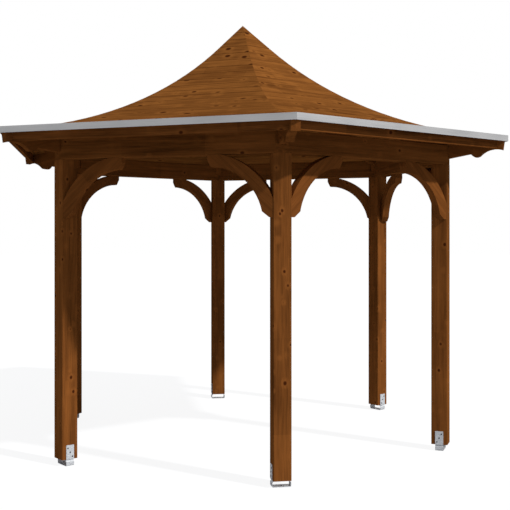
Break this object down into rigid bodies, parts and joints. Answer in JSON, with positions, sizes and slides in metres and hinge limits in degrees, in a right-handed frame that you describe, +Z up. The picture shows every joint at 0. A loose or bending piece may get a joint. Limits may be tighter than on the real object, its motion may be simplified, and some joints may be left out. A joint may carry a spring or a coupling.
{
  "type": "wooden pavilion",
  "caption": "Hexagonal timber pavilion with a bell-shaped boarded roof, curved knee braces, shaped rafter tails and posts on folded steel shoes.",
  "frame": {"origin": "on the ground at the middle of the hexagon of posts", "axes": "+Z up; post 1 stands on +X and the posts follow every 60 degrees; the front bay faces -Y"},
  "size_m": [4.2054, 3.642, 3.329],
  "materials": {
    "post_wood": "walnut stain, matt",
    "beam_wood": "walnut stain, matt",
    "brace_wood": "walnut stain, matt",
    "rafter_wood": "walnut stain, matt",
    "fascia_wood": "walnut stain, matt",
    "roof_boards": "walnut stain, matt",
    "drip_metal": "satin mill finish",
    "shoe_steel": "hot-dip galvanised"
  },
  "bodies": {
    "root": {"drip_edge_a": "drip_metal", "drip_edge_b": "drip_metal", "fascia_board_1": "fascia_wood", "fascia_board_2": "fascia_wood", "fascia_board_3": "fascia_wood", "fascia_board_4": "fascia_wood", "fascia_board_5": "fascia_wood", "fascia_board_6": "fascia_wood", "hip_rafter_1": "rafter_wood", "hip_rafter_2": "rafter_wood", "hip_rafter_3": "rafter_wood", "hip_rafter_4": "rafter_wood", "hip_rafter_5": "rafter_wood", "hip_rafter_6": "rafter_wood", "king_block": "rafter_wood", "knee_braces_1": "brace_wood", "knee_braces_2": "brace_wood", "knee_braces_3": "brace_wood", "knee_braces_4": "brace_wood", "knee_braces_5": "brace_wood", "knee_braces_6": "brace_wood", "post_1": "post_wood", "post_2": "post_wood", "post_3": "post_wood", "post_4": "post_wood", "post_5": "post_wood", "post_6": "post_wood", "post_shoe_1": "shoe_steel", "post_shoe_2": "shoe_steel", "post_shoe_3": "shoe_steel", "post_shoe_4": "shoe_steel", "post_shoe_5": "shoe_steel", "post_shoe_6": "shoe_steel", "ring_beam_1": "beam_wood", "ring_beam_2": "beam_wood", "ring_beam_3": "beam_wood", "ring_beam_4": "beam_wood", "ring_beam_5": "beam_wood", "ring_beam_6": "beam_wood", "roof_panel_1": "roof_boards", "roof_panel_2": "roof_boards", "roof_panel_3": "roof_boards", "roof_panel_4": "roof_boards", "roof_panel_5": "roof_boards", "roof_panel_6": "roof_boards"}
  },
  "joints": []
}
